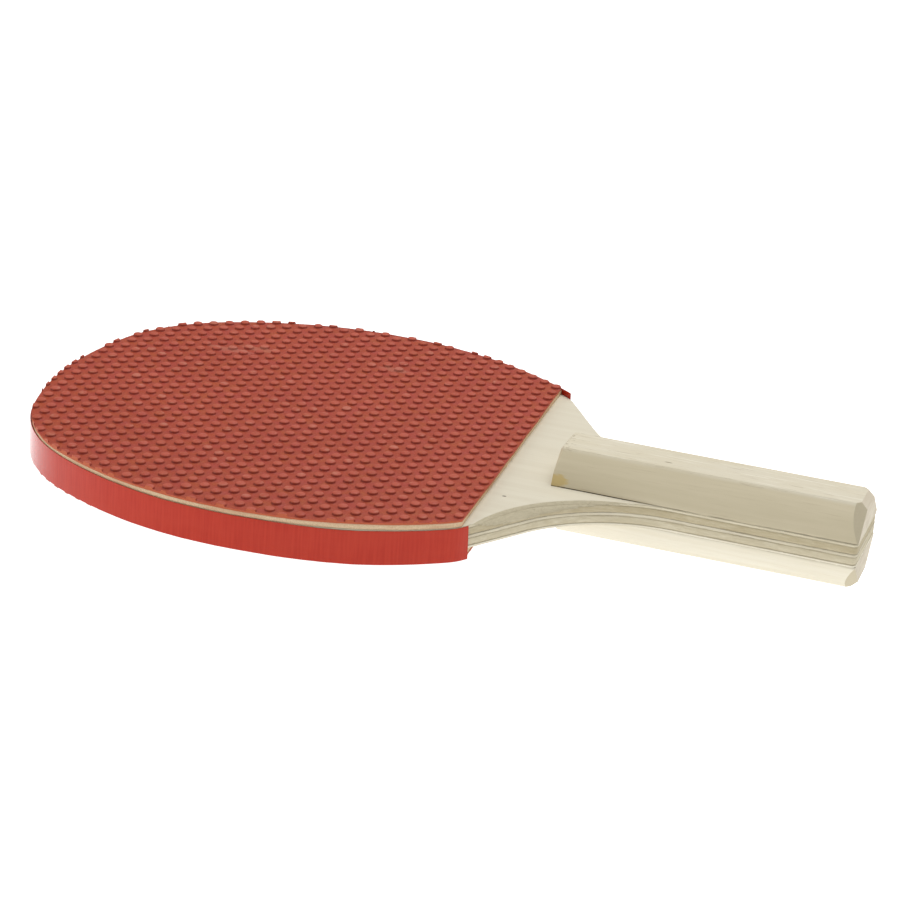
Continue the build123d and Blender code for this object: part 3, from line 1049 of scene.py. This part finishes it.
def build_paddle():
    build_plies()
    rubber = [rubber_material(), cut_rubber_material()]
    foam = sponge_material()
    sheets = (("upper", 1, UPPER_END_X, 100), ("lower", -1, LOWER_END_X, 200))
    for side, facing, end_x, seed in sheets:
        sponge_piece(side + "_sponge", end_x, seed, facing, foam)
        pimpled_piece(side + "_pimpled_rubber", end_x, seed + 7, facing, rubber)
    tape_piece(tape_material())
    ends = [scale_end_material(), scale_facet_material()]
    upper = scale_wood_material(
        "upper_handle_grain", rgb(216, 208, 187), rgb(214, 203, 175), rgb(205, 194, 164), (3, 1, 7)
    )
    # Painted light: the lower scale's colours are lighter than the upper scale's, standing in for
    # light from the floor below
    lower = scale_wood_material(
        "lower_handle_grain_painted_light", rgb(226, 220, 200), rgb(228, 222, 204), rgb(220, 212, 190), (8, 5, 2)
    )
    scale_piece("upper_handle_scale", 61, 1, [upper] + ends)
    scale_piece("lower_handle_scale", 71, -1, [lower] + ends)


# ---- Floor, light and camera -------------------------------------------------------------------
def build_floor():
    """A pale floor tilted so that it touches the lower scale's front edge and the tip."""
    heel = Vector((SCALE_FRONT_X + FRONT_CHAMFER, -SCALE_TOP))
    tip = Vector((TIP_X + TIP_TO_FLOOR_CONTACT, -PIMPLE_TOP))
    slope = (heel.y - tip.y) / (heel.x - tip.x)
    half = FLOOR_SIZE / 2
    bm = bmesh.new()
    corners = []
    for x, y in ((-half, -half), (half, -half), (half, half), (-half, half)):
        corners.append(bm.verts.new((x, y, tip.y + (x - tip.x) * slope - FLOOR_GAP)))
    bm.faces.new(corners)
    floor = finish_bmesh(bm, "floor", EDGE_CREASE)
    s = Shader("floor_paper", Specular_IOR_Level=0.0, Roughness=1.0)
    s.surface.inputs["Emission Color"].default_value = (1, 1, 1, 1)
    s.surface.inputs["Emission Strength"].default_value = FLOOR_GLOW
    paper = s.noise((0.01, 0.01, 0.01), 2.0)
    floor.data.materials.append(s.done(s.mix(paper, (0.3, 0.3, 0.3, 1), (0.33, 0.33, 0.33, 1))))


def add_light(name, position, size, watts):
    """A rectangular softbox that faces the paddle."""
    light = bpy.data.lights.new(name, "AREA")
    light.shape = "RECTANGLE"
    light.size, light.size_y = size
    light.energy = watts
    lamp = bpy.data.objects.new(name, light)
    lamp.location = position
    lamp.rotation_euler = (-Vector(position)).to_track_quat("-Z", "Y").to_euler()
    bpy.context.scene.collection.objects.link(lamp)


def build_light():
    """Even white light from all round, and two softboxes."""
    world = bpy.data.worlds.new("studio")
    world.use_nodes = True
    background = world.node_tree.nodes["Background"]
    background.inputs["Color"].default_value = (1.0, 1.0, 1.0, 1)
    background.inputs["Strength"].default_value = WORLD_LIGHT
    bpy.context.scene.world = world
    for softbox in SOFTBOXES:
        add_light(*softbox)


def build_camera():
    """The camera on a sphere round its aim, rolled a little about its axis."""
    camera = bpy.data.cameras.new("camera")
    camera.lens = CAMERA_LENS
    camera.sensor_width = CAMERA_SENSOR
    camera.clip_start = CAMERA_CLIP_START
    toward = Vector((
        -sin(CAMERA_AZIMUTH) * cos(CAMERA_ELEVATION),
        cos(CAMERA_AZIMUTH) * cos(CAMERA_ELEVATION),
        -sin(CAMERA_ELEVATION),
    ))
    right = toward.cross(Vector((0, 0, 1))).normalized()
    up = right.cross(toward)
    right, up = (
        right * cos(CAMERA_ROLL) + up * sin(CAMERA_ROLL),
        up * cos(CAMERA_ROLL) - right * sin(CAMERA_ROLL),
    )
    axes = Matrix((right, up, -toward)).transposed().to_4x4()
    eye = bpy.data.objects.new("camera", camera)
    eye.matrix_world = Matrix.Translation(CAMERA_AIM - toward * CAMERA_DISTANCE) @ axes
    bpy.context.scene.collection.objects.link(eye)
    bpy.context.scene.camera = eye


bpy.context.scene.view_settings.view_transform = "Standard"
build_paddle()
build_floor()
build_light()
build_camera()
